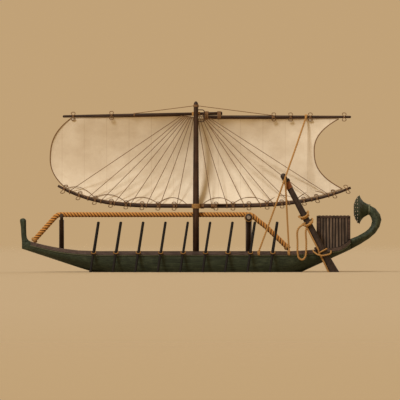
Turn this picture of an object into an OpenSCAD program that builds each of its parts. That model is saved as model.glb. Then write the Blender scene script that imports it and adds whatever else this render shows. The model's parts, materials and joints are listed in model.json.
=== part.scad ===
// Reed boat of the papyrus-bundle kind, with one fore-and-aft sail on a yard and a boom.
// +X points to the bow, +Y to port and +Z up. The origin is on the mast's axis at the water.

/* [Hull] */
// Distance from the mast to the foremost point of the hull
hull_fore = 8180; // [7400:10:9900]
// Distance from the mast to the joint between the hull and the stern stem
hull_aft = 7260; // [6700:10:8800]
// Width of the reed hull at its widest, inside the rails
hull_beam = 3700; // [3000:10:4500]
// Height of the rail above the water amidships
freeboard = 970; // [850:10:1170]
// Depth of the hull below the water
draft = 450; // [350:10:560]
// Half width of the blunt nose at the bow
nose_half_width = 100; // [80:5:130]
// Half width of the hull where the stern stem joins it
tail_half_width = 620; // [600:10:760]
// Thickness of the reed side round the rowers' well
side_wall = 250; // [180:10:320]
// Least thickness of the reeds under the rowers' well
bottom_wall = 250; // [180:10:320]
// Distance from the mast to the fore end of the rowers' well
well_fore = 5300; // [5200:10:5900]
// Distance from the mast to the aft end of the rowers' well
well_aft = 4000; // [3900:10:4500]
// Height above the water of the reeds under the floor boards
well_floor = 280; // [240:10:330]

/* [Rails and decks] */
// Height of the timber rail
rail_height = 160; // [120:5:200]
// Thickness of the timber rail
rail_thickness = 50; // [35:5:70]
// Thickness of the deck and floor boards
board = 30; // [20:2:45]
// Gap between the boards' edges and the rail
board_gap = 5; // [2:1:10]
// Width of a rowing thwart, fore and aft
thwart_width = 200; // [150:10:220]
// Thickness of a thwart
thwart_thickness = 45; // [30:5:60]
// Height of the thwarts' top above the water
thwart_top = 600; // [560:10:640]

/* [Bow post and stern flower] */
// Length of the flat seat under the bow post
post_seat = 420; // [400:10:500]
// Height of the bow post above its seat
post_height = 1120; // [900:10:1350]
// Radius of the bow post half way up
post_radius = 124; // [105:2:150]
// Height of the flower's middle above the joint of the stem
flower_rise = 1380; // [1300:10:1500]
// Radius of the flower's rim
flower_radius = 690; // [560:10:830]
// Radius of the stem's round end, which the flower grows from
stem_end_radius = 230; // [200:5:260]

/* [Mast and spars] */
// Height of the masthead above the water
mast_top = 8020; // [7900:10:9600]
// Radius of the mast up to the boom
mast_radius = 147; // [120:1:160]
// Radius of the mast just under its rounded head
masthead_radius = 106; // [90:1:120]
// Height of the boom at the mast
boom_height = 3090; // [3070:10:3300]
// Height of the yard at the mast
yard_height = 7430; // [6300:10:7500]
// Greatest radius of the boom
boom_radius = 85; // [70:1:100]
// Greatest radius of the yard
yard_radius = 75; // [60:1:90]
// Radius of the spars at their tips
spar_tip_radius = 58; // [45:1:60]
// Distance from the mast to the boom's fore tip
boom_fore = 6490; // [6300:10:7800]
// Distance from the mast to the boom's aft tip
boom_aft = 7280; // [7100:10:8700]
// Distance from the mast to the yard's fore tip
yard_fore = 6270; // [6100:10:7500]
// Distance from the mast to the yard's aft tip
yard_aft = 7300; // [7100:10:8700]
// Running gap between the mast and what turns round it
parrel_gap = 10; // [6:1:20]
// Thickness of the rope parrel that holds the boom to the mast
parrel_wall = 50; // [40:2:70]
// How deep the spars bed into their parrels
spar_bed = 25; // [15:1:30]

/* [Sail] */
// Thickness of the sailcloth as a solid
cloth = 12; // [8:1:20]
// Gap between the cloth's edges and the spars
cloth_gap = 12; // [8:1:30]
// How far the middle of the sail bellies out
belly = 700; // [400:10:900]

/* [Hogging truss] */
// Radius of the twisted rope
truss_radius = 125; // [100:5:150]
// Distance of the rope from the middle of the boat, to starboard
truss_offset = 300; // [292:2:360]
// Height of the rope's middle between its props
truss_height = 2690; // [2500:10:2800]
// Distance from the mast to the fore prop
fore_prop = 6320; // [6250:10:6400]
// Distance from the mast to the aft prop
aft_prop = 2480; // [2470:2:2500]

/* [Cabin] */
// Length of the cabin
cabin_length = 1540; // [1400:10:1560]
// Width of the cabin
cabin_width = 1120; // [900:10:1160]
// Height of the cabin's roof above the water
cabin_top = 2640; // [2400:10:2900]
// Thickness of the cabin's walls
cabin_wall = 40; // [30:2:60]
// Thickness of the cabin's roof
cabin_roof_thickness = 60; // [40:5:90]
// Width of the doorway in the cabin's fore wall
door_width = 520; // [450:10:600]
// Height of the doorway
door_height = 1150; // [1000:10:1200]

/* [Rowing oars] */
// Distance between one oar and the next
oar_pitch = 1050; // [1045:1:1055]
// Distance from the mast to the foremost oar
first_oar = 4800; // [4750:10:4850]
// Radius of an oar's shaft
oar_radius = 58; // [48:1:64]
// Length of an oar above its loop
oar_inboard = 1590; // [1300:10:1650]
// Length of an oar below its loop, with its blade
oar_outboard = 1830; // [1600:10:2000]
// Length of an oar's blade
oar_blade_length = 700; // [550:10:800]
// Half width of an oar's blade
oar_blade_half_width = 105; // [80:5:130]
// Thickness of an oar's blade
oar_blade_thickness = 34; // [25:1:45]
// Gap between an oar's shaft and the rail or its loop
oar_gap = 20; // [14:1:28]
// Radius of the rope of an oar's loop
loop_rope = 18; // [14:1:22]
// Half width of an oar's loop
loop_radius = 105; // [95:1:120]

/* [Steering oar] */
// Radius of the steering oar's loom at its sling
loom_radius = 165; // [140:5:180]
// Radius of the loom near its head
loom_head_radius = 130; // [110:5:140]
// Length of the steering oar above its sling
loom_above = 4090; // [3700:10:4400]
// Length of the steering oar below its sling
loom_below = 2600; // [2300:10:2800]
// Greatest half width of the steering blade
steering_blade_half_width = 255; // [220:5:290]
// Radius of the sling's rope
sling_rope = 35; // [25:1:45]
// Gap between the loom and its sling or beam
loom_gap = 12; // [8:1:20]
// Radius of the beam that the loom leans on
steering_beam_radius = 60; // [50:1:65]

/* [Hidden] */
$fn = 48;

SIDES = ["port", "starboard"];
OARS_PER_SIDE = 9;

REED = "darkolivegreen";
TIMBER = "saddlebrown";
ROPE = "goldenrod";

// ---- curves of the hull ----

function share(t) = min(1, max(0, t));
function mix(a, b, t) = a + (b - a) * t;

FORE_SHEER_START = 4600;
FORE_SHEER_RISE = 460;
AFT_SHEER_START = 4200;
AFT_SHEER_RISE = 260;
AFT_SHEER_POWER = 1.6;
STEM_KICK = 320;
STEM_KICK_LENGTH = 620;
seat_x = hull_fore - post_seat;

// height of the rail's top above the water
function sheer_rise(x) = x > 0
    ? FORE_SHEER_RISE * pow(share((x - FORE_SHEER_START) / (seat_x - FORE_SHEER_START)), 2)
    : AFT_SHEER_RISE * pow(share((-x - AFT_SHEER_START) / (hull_aft - AFT_SHEER_START)), AFT_SHEER_POWER)
      + STEM_KICK * pow(share((-x - hull_aft + STEM_KICK_LENGTH) / STEM_KICK_LENGTH), 2);

// the bottom is level amidships, then turns up into a straight rise
BOW_TOE = 1090;
STERN_TOE = 1050;
FORE_BEND = [1720, 5300];
AFT_BEND = [3270, 4700];
function run_up(d, bend) = d < bend[0] ? 0
    : d < bend[1] ? pow(d - bend[0], 2) / (bend[1] - bend[0]) / 2
    : (bend[1] - bend[0]) / 2 + d - bend[1];
function keel(x) = x > 0
    ? -draft + (BOW_TOE + draft) * run_up(x, FORE_BEND) / run_up(hull_fore, FORE_BEND)
    : -draft + (STERN_TOE + draft) * run_up(-x, AFT_BEND) / run_up(hull_aft, AFT_BEND);

FORE_FULLNESS = 3;
AFT_FULLNESS = 2.3;
function half_beam(x) = x > 0
    ? mix(nose_half_width, hull_beam / 2, 1 - pow(x / hull_fore, FORE_FULLNESS))
    : mix(tail_half_width, hull_beam / 2, 1 - pow(-x / hull_aft, AFT_FULLNESS));

STATIONS_PER_END = 12;
STATIONS = concat(
    [for (k = [STATIONS_PER_END:-1:1]) -hull_aft * sin(90 * k / STATIONS_PER_END)],
    [for (k = [0:STATIONS_PER_END]) seat_x * sin(90 * k / STATIONS_PER_END)],
    [(seat_x + hull_fore) / 2, hull_fore]);
SHEER_TABLE = [for (x = STATIONS) [x, freeboard + sheer_rise(x)]];
BEAM_TABLE = [for (x = STATIONS) [x, half_beam(x)]];
function sheer(x) = lookup(x, SHEER_TABLE);
function beam_at(x) = lookup(x, BEAM_TABLE);
function rail_face(x) = beam_at(x) + rail_thickness;
function stations_between(a, b) = concat([a], [for (x = STATIONS) if (x > a + 1 && x < b - 1) x], [b]);

// ---- lofts ----

// solid through rings of points, which run anticlockwise for someone who looks from the first ring
// towards the last; strip_ends closes a ring that is a bent strip with one quad for each step
module loft(rings, strip_ends = false) {
    n = len(rings[0]);
    last = len(rings) - 1;
    points = [for (ring = rings, p = ring) p];
    sides = [for (k = [0:last - 1], i = [0:n - 1])
        let (a = k * n + i, b = k * n + (i + 1) % n) each [[a, b, a + n], [b, b + n, a + n]]];
    first_ends = strip_ends ? [for (i = [0:n / 2 - 2]) [n - 1 - i, n - 2 - i, i + 1, i]]
        : [[for (i = [n - 1:-1:0]) i]];
    last_ends = [for (face = first_ends) [for (i = [len(face) - 1:-1:0]) last * n + face[i]]];
    polyhedron(points, concat(sides, first_ends, last_ends), convexity = 6);
}

// circle of points round p, in the plane that holds Y and the direction [along X, along Z]
function round_ring(p, r, up, sides) = [for (i = [0:sides - 1])
    let (a = 360 * (i + 0.5) / sides)
    [p[0] + r * sin(a) * up[0], p[1] - r * cos(a), p[2] + r * sin(a) * up[1]]];

function unit(v) = v / norm(v);
// mean direction of travel at point i of a path in X and Z
function heading(path, i) = unit(path[min(i + 1, len(path) - 1)] - path[max(i - 1, 0)]);

// ---- hull ----

SECTION_POWER = 2.6;
SECTION_STEPS = 9;
function round_y(a) = pow(max(cos(a), 0), 2 / SECTION_POWER);
function round_z(a) = pow(max(sin(a), 0), 2 / SECTION_POWER);

// port half of the hull's section: flat top, upright side behind the rail, round bottom
function hull_ring(x) = let (top = sheer(x) - board, turn = sheer(x) - rail_height) concat(
    [[x, 0, top], [x, beam_at(x), top]],
    [for (k = [0:SECTION_STEPS]) let (a = 90 * k / SECTION_STEPS)
        [x, beam_at(x) * round_y(a), mix(turn, keel(x), round_z(a))]]);

WELL_HEADROOM = 300;
// full section of the well, open at the top
function well_ring(x) = let (inner = beam_at(x) - side_wall, turn = sheer(x) - rail_height) concat(
    [[x, -inner, sheer(x) + WELL_HEADROOM], [x, inner, sheer(x) + WELL_HEADROOM]],
    [for (k = [-SECTION_STEPS:SECTION_STEPS]) let (a = 90 - 90 * abs(k) / SECTION_STEPS)
        [x, -sign(k) * inner * round_y(a), mix(turn, keel(x) + bottom_wall, round_z(a))]]);

module well() {
    intersection() {
        loft([for (x = stations_between(-well_aft, well_fore)) well_ring(x)]);
        translate([-well_aft - 1, -hull_beam, well_floor])
            cube([well_aft + well_fore + 2, 2 * hull_beam, mast_top]);
    }
}

module solid_half() {
    loft([for (x = STATIONS) hull_ring(x)]);
}

module port_hull_bundle() {
    color(REED) difference() {
        solid_half();
        well();
    }
}

module starboard_hull_bundle() {
    color(REED) difference() {
        mirror([0, 1, 0]) solid_half();
        well();
    }
}

// ---- rails and decks ----

module rail() {
    loft([for (x = stations_between(-hull_aft, seat_x))
        let (y = beam_at(x), z = sheer(x))
        [[x, y, z], [x, y + rail_thickness, z],
         [x, y + rail_thickness, z - rail_height], [x, y, z - rail_height]]]);
}

module port_rail() {
    color(TIMBER) rail();
}

module starboard_rail() {
    color(TIMBER) mirror([0, 1, 0]) rail();
}

// hairline between pieces that lie on each other
SEAM = 0.3;
module deck(aft, fore) {
    loft([for (x = stations_between(aft, fore))
        let (y = beam_at(x) - board_gap, top = sheer(x), underside = top - board + SEAM)
        [[x, -y, top], [x, y, top], [x, y, underside], [x, -y, underside]]]);
}

POST_TOE = 100;
module foredeck() {
    color(TIMBER) deck(well_fore, seat_x - POST_TOE - board_gap);
}

module afterdeck() {
    color(TIMBER) deck(-hull_aft, -well_aft);
}

// everything above the decks
module above_decks() {
    xs = stations_between(-hull_aft, seat_x);
    aft = -2 * hull_aft;
    fore = 2 * hull_fore;
    outline = concat([[aft, sheer(-hull_aft)]], [for (x = xs) [x, sheer(x)]],
        [[fore, sheer(seat_x)], [fore, 2 * mast_top], [aft, 2 * mast_top]]);
    translate([0, 0, SEAM]) rotate([90, 0, 0]) linear_extrude(3 * hull_beam, center = true)
        polygon(outline);
}

FLOOR_END_ROOM = [50, 700];
floor_top = well_floor + board;
module well_floor_boards() {
    color(TIMBER) intersection() {
        well();
        translate([-well_aft + FLOOR_END_ROOM[0], -hull_beam, well_floor])
            cube([well_aft + well_fore - FLOOR_END_ROOM[0] - FLOOR_END_ROOM[1], 2 * hull_beam, board]);
    }
}

// thwarts stand ahead of their oars, because the rowers face aft
THWART_AHEAD = 350;
function thwart_x(i) = first_oar + THWART_AHEAD - oar_pitch * i;
// the fifth thwart from the first is the mast's own, which is drawn by itself
MAST_THWART = 5;

module plank_across(x, width) {
    translate([x - width / 2, -hull_beam, thwart_top - thwart_thickness])
        cube([width, 2 * hull_beam, thwart_thickness]);
}

module thwarts() {
    color(TIMBER) intersection() {
        well();
        for (i = [0:OARS_PER_SIDE - 1]) if (i != MAST_THWART) plank_across(thwart_x(i), thwart_width);
    }
}

// wide thwart that holds the mast
MAST_THWART_WIDTH = 560;
module mast_thwart() {
    color(TIMBER) difference() {
        intersection() {
            well();
            plank_across(0, MAST_THWART_WIDTH);
        }
        cylinder(r = mast_radius, h = mast_top);
    }
}

// ---- bow post ----

// share of the height, then the aft and fore reach and the half width, in post radii
POST_RINGS = [
    [0, 3.45, 0.74, 1.2], [0.035, 2.45, 0.76, 1.12], [0.09, 1.7, 0.8, 1.06], [0.18, 1.18, 0.9, 1],
    [0.31, 1, 1, 1], [0.62, 0.9, 1.14, 1], [0.8, 0.9, 1.36, 1.13], [0.89, 0.9, 1.5, 1.2],
    [0.95, 0.75, 1.42, 1.08], [0.985, 0.35, 1.0, 0.68], [1, 0, 0.6, 0.3]];
POST_SIDES = 20;
POST_SET_BACK = 90;
module bow_post() {
    foot = [hull_fore - POST_SET_BACK, sheer(seat_x) - board];
    color(REED) loft([for (r = POST_RINGS) [for (i = [0:POST_SIDES - 1])
        let (a = 360 * i / POST_SIDES, reach = (cos(a) > 0 ? r[2] : r[1]))
        [foot[0] + reach * post_radius * cos(a), -r[3] * post_radius * sin(a),
         foot[1] + r[0] * post_height]]]);
}

// ---- stern stem and flower ----

// inner and outer edge of the stem as [aft of the joint, above the toe], half width, crown share
STEM_ROWS = [
    [[0, 500], [0, 0], 620, 0.06],
    [[340, 640], [460, 250], 470, 0.25],
    [[660, 820], [880, 520], 350, 0.4],
    [[840, 960], [1170, 770], 285, 0.5],
    [[960, 1120], [1370, 1070], 250, 0.5],
    [[1010, 1320], [1460, 1400], 240, 0.5],
    [[980, 1470], [1400, 1650], 235, 0.5],
    [[930, 1570], [1180, 1940], 230, 0.5]];
STEM_ROWS_RISE = 1380;
STEM_SIDES = 20;
FLOWER_AFT = 860;
flower_x = -hull_aft - FLOWER_AFT;
flower_z = STERN_TOE + STEM_ROWS[0][0][1] + flower_rise;
function stem_ring(inner, outer, half_width, crown) = [for (i = [0:STEM_SIDES - 1])
    let (a = 360 * (i + 0.5) / STEM_SIDES, s = sin(a), c = cos(a),
         middle = mix(inner, outer, crown),
         edge = s > 0 ? mix(middle, inner, s) : mix(middle, outer, -s))
    [edge[0], half_width * c, edge[1]]];

module stern_stem() {
    toe = [-hull_aft, STERN_TOE];
    stretch = flower_rise / STEM_ROWS_RISE;
    rows = [for (r = STEM_ROWS) stem_ring(
        [toe[0] - r[0][0], toe[1] + r[0][1] * stretch],
        [toe[0] - r[1][0], toe[1] + r[1][1] * stretch],
        r[2] * min(1, tail_half_width / STEM_ROWS[0][2]), r[3])];
    end = stem_ring([flower_x, flower_z - stem_end_radius], [flower_x, flower_z + stem_end_radius],
        stem_end_radius, 0.5);
    color(REED) loft(concat(rows, [end]));
}

// papyrus flower that opens towards the bow: a bell with a domed face
FLOWER_BELL = [[0, 0], [110, 0.11], [250, 0.28], [340, 0.52], [400, 0.8], [430, 1]];
FLOWER_DOME = 310;
module stern_flower() {
    bell = [for (p = FLOWER_BELL) [mix(stem_end_radius, flower_radius, p[1]), p[0]]];
    rim = FLOWER_BELL[len(FLOWER_BELL) - 1][0];
    dome = [for (a = [15:15:75]) [flower_radius * cos(a), rim + FLOWER_DOME * sin(a)]];
    color(REED) translate([flower_x, 0, flower_z]) rotate([0, 90, 0]) rotate_extrude()
        polygon(concat([[0, 0]], bell, dome, [[0, rim + FLOWER_DOME]]));
}

// ---- mast ----

MAST_HEAD_ROUND = 170;
function mast_radius_at(z) = lookup(z, [[boom_height, mast_radius],
    [mast_top - MAST_HEAD_ROUND, masthead_radius]]);

module mast_solid() {
    shoulder = mast_top - MAST_HEAD_ROUND;
    head = [for (a = [0:15:75]) [masthead_radius * cos(a), shoulder + MAST_HEAD_ROUND * sin(a)]];
    rotate_extrude() polygon(concat([[0, floor_top], [mast_radius, floor_top],
        [mast_radius, boom_height]], head, [[0, mast_top]]));
}

module mast() {
    color(TIMBER) mast_solid();
}

STEP_SIZE = [700, 480, 170];
module mast_step() {
    color(TIMBER) difference() {
        translate([-STEP_SIZE[0] / 2, -STEP_SIZE[1] / 2, floor_top]) cube(STEP_SIZE);
        cylinder(r = mast_radius, h = mast_top);
    }
}

// two D-shaped rings for the halyards, on the aft side of the masthead
MAST_RINGS_BELOW_TOP = [515, 845];
RING_BAR = 22;
RING_BEND = 112;
RING_REACH = 420;
module masthead_rings() {
    color(TIMBER) difference() {
        for (down = MAST_RINGS_BELOW_TOP) translate([0, 0, mast_top - down]) {
            for (side = [-1, 1]) translate([0, 0, side * RING_BEND]) rotate([0, -90, 0])
                cylinder(r = RING_BAR, h = RING_REACH - RING_BEND - RING_BAR);
            translate([-(RING_REACH - RING_BEND - RING_BAR), 0, 0]) rotate([90, 90, 0])
                rotate_extrude(angle = -180) translate([RING_BEND, 0]) circle(RING_BAR, $fn = 24);
        }
        mast_solid();
    }
}

// ---- spars and sail ----

boom_parrel_outer = mast_radius + parrel_gap + parrel_wall;
spar_offset = boom_parrel_outer + boom_radius - spar_bed;
SPAR_SIDES = 14;

// rise of the boom's tips and the power of the curve that leads to them
BOOM_FORE_CURVE = [960, 4];
BOOM_AFT_CURVE = [870, 3.6];
function boom_z(x) = boom_height + (x > 0
    ? BOOM_FORE_CURVE[0] * pow(x / boom_fore, BOOM_FORE_CURVE[1])
    : BOOM_AFT_CURVE[0] * pow(-x / boom_aft, BOOM_AFT_CURVE[1]));
// a spar keeps its radius up to half its length, then tapers to its tip
function spar_radius(d, length, r) = mix(r, spar_tip_radius, share(2 * d / length - 1));

BOOM_STEPS = 16;
BOOM_LAP = [900, 100];
BOOM_LAP_EASE = 2000;
function eased(t) = let (s = share(t)) s * s * (3 - 2 * s);
// the aft half of the boom is lashed beside the fore half and comes back into line with it
function boom_aft_y(x) = -spar_offset - 2 * boom_radius * (1 - eased((-x - BOOM_LAP[0]) / BOOM_LAP_EASE));

module spar_sweep(path, radii) {
    flat = [for (p = path) [p[0], p[2]]];
    loft([for (i = [0:len(path) - 1])
        let (h = heading(flat, i)) round_ring(path[i], radii[i], [-h[1], h[0]], SPAR_SIDES)]);
}

module boom_fore_spar() {
    xs = [for (k = [0:BOOM_STEPS]) mix(-BOOM_LAP[0], boom_fore, k / BOOM_STEPS)];
    color(TIMBER) spar_sweep([for (x = xs) [x, -spar_offset, boom_z(x)]],
        [for (x = xs) spar_radius(abs(x), boom_fore, boom_radius)]);
}

module boom_aft_spar() {
    xs = [for (k = [BOOM_STEPS:-1:0]) mix(-BOOM_LAP[1], -boom_aft, k / BOOM_STEPS)];
    color(TIMBER) spar_sweep([for (x = xs) [x, boom_aft_y(x), boom_z(x)]],
        [for (x = xs) spar_radius(-x, boom_aft, boom_radius)]);
}

// the yard is two straight poles that overlap just aft of the mast, the fore one on top
YARD_FORE_DROOP = 120;
YARD_LAP = [1240, 340];
YARD_LASHING_GAP = 2;
function yard_fore_z(x) = yard_height - YARD_FORE_DROOP * x / yard_fore;
yard_aft_z = yard_fore_z(-YARD_LAP[1]) - 2 * yard_radius - YARD_LASHING_GAP;

module pole(length, r) {
    tip = spar_tip_radius;
    rotate([0, 90, 0]) rotate_extrude() polygon(concat(
        [[0, 0], [r, 0], [r, length / 2], [tip, length - tip]],
        [for (a = [30, 60]) [tip * cos(a), length - tip + tip * sin(a)]], [[0, length]]));
}

module yard_fore_spar() {
    droop = atan(YARD_FORE_DROOP / yard_fore);
    color(TIMBER) translate([-YARD_LAP[0], -spar_offset, yard_fore_z(-YARD_LAP[0])])
        rotate([0, droop, 0]) pole((yard_fore + YARD_LAP[0]) / cos(droop), yard_radius);
}

module yard_aft_spar() {
    color(TIMBER) translate([-YARD_LAP[1], -spar_offset, yard_aft_z]) mirror([1, 0, 0])
        pole(yard_aft - YARD_LAP[1], yard_radius);
}

module parrel(inner, outer, height) {
    difference() {
        translate([0, 0, -height / 2]) cylinder(r = outer, h = height);
        translate([0, 0, -height]) cylinder(r = inner, h = 2 * height);
    }
}

PARREL_HEIGHT = 220;
BEDDING = 0.5;
module boom_parrel() {
    color(ROPE) translate([0, 0, boom_height]) difference() {
        parrel(mast_radius + parrel_gap, boom_parrel_outer, PARREL_HEIGHT);
        translate([-mast_top / 2, -spar_offset, 0]) rotate([0, 90, 0])
            cylinder(r = boom_radius + BEDDING, h = mast_top);
    }
}

// the yard's parrel is a saddle that leaves the aft side free for the masthead rings
YARD_PARREL_HEIGHT = 190;
SADDLE_HALF_ANGLE = 62;
module yard_parrel() {
    inner = mast_radius_at(yard_height - YARD_PARREL_HEIGHT) + parrel_gap;
    outer = spar_offset - yard_radius + spar_bed;
    reach = 2 * outer;
    color(ROPE) translate([0, 0, yard_height]) difference() {
        intersection() {
            parrel(inner, outer, YARD_PARREL_HEIGHT);
            translate([0, 0, -YARD_PARREL_HEIGHT]) linear_extrude(2 * YARD_PARREL_HEIGHT)
                polygon([[0, 0], [-reach * tan(SADDLE_HALF_ANGLE), -reach],
                         [reach * tan(SADDLE_HALF_ANGLE), -reach]]);
        }
        translate([0, -spar_offset, 0]) rotate([0, atan(YARD_FORE_DROOP / yard_fore), 0])
            translate([-mast_top / 2, 0, 0]) rotate([0, 90, 0])
                cylinder(r = yard_radius + BEDDING, h = mast_top);
    }
}

SAIL_FOOT = [-6890, 6110];
SAIL_HEAD = [-6720, 5860];
LEECH_BOW = [1240, 860];
LEECH_POWER = 2.5;
BELLY_POWERS = [0.7, 0.8];
HEAD_STEP = [290, 900];
SAIL_COLUMNS = 22;
SAIL_ROWS = 9;
function leech_shape(v) = 1 - pow(abs(2 * v - 1), LEECH_POWER);
function leech_x(end, v) = mix(SAIL_FOOT[end], SAIL_HEAD[end], v) + LEECH_BOW[end] * leech_shape(v);
function sail_x(u, v) = mix(leech_x(0, v), leech_x(1, v), u);
function foot_z(x) = boom_z(x) + boom_radius + cloth_gap;
// the head steps up from the aft pole of the yard to the fore one
function head_z(x) = mix(yard_aft_z, yard_fore_z(x), eased((x + HEAD_STEP[0]) / HEAD_STEP[1]))
    - yard_radius - cloth_gap;
function sail_z(u, v) = mix(foot_z(sail_x(u, 0)), head_z(sail_x(u, 1)), v);
function sail_y(u, v) = -spar_offset
    - belly * pow(sin(180 * u), BELLY_POWERS[0]) * pow(sin(180 * v), BELLY_POWERS[1]);

module sail() {
    ring = function(u) concat(
        [for (k = [0:SAIL_ROWS]) let (v = k / SAIL_ROWS)
            [sail_x(u, v), sail_y(u, v) + cloth / 2, sail_z(u, v)]],
        [for (k = [SAIL_ROWS:-1:0]) let (v = k / SAIL_ROWS)
            [sail_x(u, v), sail_y(u, v) - cloth / 2, sail_z(u, v)]]);
    color("tan") loft([for (k = [0:SAIL_COLUMNS]) ring(k / SAIL_COLUMNS)], strip_ends = true);
}

// ---- hogging truss ----

// the rope rises from the foredeck, runs level over two props and goes down to the afterdeck
TRUSS_FOOT = [7800, 1280];
TRUSS_BEND = 6520;
// each bend aft of the aft prop, as its distance from the prop and its drop
TRUSS_AFT = [[140, 0], [420, 270], [800, 550], [2080, 1790]];
TRUSS_SIDES = 12;
truss_points = concat([TRUSS_FOOT, [TRUSS_BEND, truss_height]],
    [for (p = TRUSS_AFT) [-aft_prop - p[0], truss_height - p[1]]]);

// mitred ring at point i of the rope
function truss_ring(i) = let (p = truss_points[i], n = len(truss_points) - 1,
    before = unit(p - truss_points[max(i - 1, 0)] + (i == 0 ? p - truss_points[1] : [0, 0])),
    after = unit(truss_points[min(i + 1, n)] - p + (i == n ? p - truss_points[n - 1] : [0, 0])),
    first = i == 0 ? after : before,
    next = i == n ? before : after,
    along = unit(first + next),
    stretch = 1 / (along * first))
    [for (k = [TRUSS_SIDES - 1:-1:0]) let (a = 360 * (k + 0.5) / TRUSS_SIDES)
        [p[0] + truss_radius * stretch * sin(a) * along[1],
         -truss_offset - truss_radius * cos(a),
         p[1] - truss_radius * stretch * sin(a) * along[0]]];

module truss_rope() {
    color(ROPE) intersection() {
        loft([for (i = [0:len(truss_points) - 1]) truss_ring(i)]);
        above_decks();
    }
}

// prop with a crutch that the rope lies in
CRUTCH_CHEEK = 65;
CRUTCH_LIP = 40;
CRUTCH_DEPTH = 240;
module prop(x, foot, r, length) {
    half = truss_radius + CRUTCH_CHEEK;
    difference() {
        translate([x, -truss_offset, 0]) {
            translate([0, 0, foot]) cylinder(r = r, h = truss_height - CRUTCH_DEPTH - foot);
            translate([-length / 2, -half, truss_height - CRUTCH_DEPTH])
                cube([length, 2 * half, CRUTCH_DEPTH + CRUTCH_LIP]);
        }
        translate([x - length, -truss_offset, truss_height]) rotate([0, 90, 0])
            cylinder(r = truss_radius, h = 2 * length);
        translate([x - length, -truss_offset - truss_radius, truss_height])
            cube([2 * length, 2 * truss_radius, truss_radius]);
    }
}

FORE_PROP_RADIUS = 115;
AFT_PROP_RADIUS = 145;
PROP_HEAD = 150;
module truss_prop_fore() {
    color(TIMBER) intersection() {
        prop(fore_prop, 0, FORE_PROP_RADIUS, PROP_HEAD);
        above_decks();
    }
}

// the aft prop carries a round toggle on its port cheek
TOGGLE_RADIUS = 170;
TOGGLE_THICKNESS = 70;
module truss_prop_aft() {
    cheek = -truss_offset + truss_radius + CRUTCH_CHEEK;
    color(TIMBER) {
        prop(-aft_prop, floor_top, AFT_PROP_RADIUS, PROP_HEAD);
        translate([-aft_prop, cheek + TOGGLE_THICKNESS, truss_height - TOGGLE_RADIUS + CRUTCH_LIP])
            rotate([90, 0, 0]) cylinder(r = TOGGLE_RADIUS, h = TOGGLE_THICKNESS);
    }
}

// ---- cabin ----

CABIN_STERN_ROOM = 10;
cabin_aft = -hull_aft + CABIN_STERN_ROOM;
cabin_fore = cabin_aft + cabin_length;
wall_top = cabin_top - cabin_roof_thickness;

module cabin_panel(corner, size) {
    color(TIMBER) intersection() {
        translate(corner) cube(size);
        above_decks();
    }
}

module side_wall_panel(y) {
    cabin_panel([cabin_aft, y, 0], [cabin_length, cabin_wall, wall_top]);
}

module cabin_port_wall() { side_wall_panel(cabin_width / 2 - cabin_wall); }
module cabin_starboard_wall() { side_wall_panel(-cabin_width / 2); }

inner_width = cabin_width - 2 * cabin_wall;
module cabin_fore_wall() {
    difference() {
        cabin_panel([cabin_fore - cabin_wall, -inner_width / 2, 0], [cabin_wall, inner_width, wall_top]);
        translate([cabin_fore - 2 * cabin_wall, -door_width / 2, 0])
            cube([3 * cabin_wall, door_width, sheer(cabin_fore) + door_height]);
    }
}

module cabin_aft_wall() {
    cabin_panel([cabin_aft, -inner_width / 2, 0], [cabin_wall, inner_width, wall_top]);
}

module cabin_roof() {
    color(TIMBER) translate([cabin_aft, -cabin_width / 2, wall_top])
        cube([cabin_length, cabin_width, cabin_roof_thickness]);
}

// ---- steering oar ----

STEERING_RAKE = 27.9;
SLING_ABOVE_WATER = 1000;
SLING_BITE = 15;
SLING_FROM_JOINT = 1310;
sling_x = -hull_aft + SLING_FROM_JOINT;
sling_ring = loom_radius + loom_gap + sling_rope;
loom_y = rail_face(sling_x) + sling_ring + sling_rope - SLING_BITE;
// the loom tapers from its sling up to its head, and keeps tapering wider below
loom_taper = (loom_radius - loom_head_radius) / loom_above;
LOOM_FOOT = 450;
KNOB_PROUD = 12;
BLADE_SIDES = 20;

module at_sling() {
    translate([sling_x, loom_y, SLING_ABOVE_WATER]) rotate([0, STEERING_RAKE, 0]) children();
}

// [length below the sling, half width, half thickness] as shares of the blade's own sizes
BLADE_ROWS = [[0.5, 0.86, 0.28], [0.62, 0.93, 0.18], [0.76, 1, 0.13], [0.88, 0.94, 0.1],
              [0.96, 0.68, 0.07], [1, 0.3, 0.05]];
module steering_oar() {
    foot_radius = loom_radius + loom_taper * LOOM_FOOT;
    knob = loom_head_radius + KNOB_PROUD;
    start = [[LOOM_FOOT, foot_radius, foot_radius]];
    rows = concat(start, [for (r = BLADE_ROWS) [r[0] * loom_below, r[1] * steering_blade_half_width,
        min(foot_radius, r[2] * 2 * steering_blade_half_width)]]);
    color(TIMBER) at_sling() {
        translate([0, 0, -LOOM_FOOT])
            cylinder(r1 = foot_radius, r2 = loom_head_radius, h = loom_above + LOOM_FOOT - knob);
        translate([0, 0, loom_above - knob]) sphere(knob);
        loft([for (r = rows) [for (i = [0:BLADE_SIDES - 1]) let (a = 360 * i / BLADE_SIDES)
            [r[1] * cos(a), r[2] * sin(a), -r[0]]]]);
    }
}

module steering_sling() {
    color(ROPE) at_sling() rotate_extrude() translate([sling_ring, 0]) circle(sling_rope, $fn = 24);
}

BEAM_BED = 6;
BEAM_OVERHANG = 120;
module steering_beam() {
    beam_z = sheer(cabin_fore) + steering_beam_radius - BEAM_BED;
    loom_x = sling_x + (beam_z - SLING_ABOVE_WATER) * tan(STEERING_RAKE);
    beam_x = loom_x + (loom_radius + steering_beam_radius + loom_gap) / cos(STEERING_RAKE);
    starboard_end = -beam_at(beam_x);
    color(TIMBER) intersection() {
        translate([beam_x, starboard_end, beam_z]) rotate([-90, 0, 0])
            cylinder(r = steering_beam_radius, h = loom_y + BEAM_OVERHANG - starboard_end);
        above_decks();
    }
}

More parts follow.
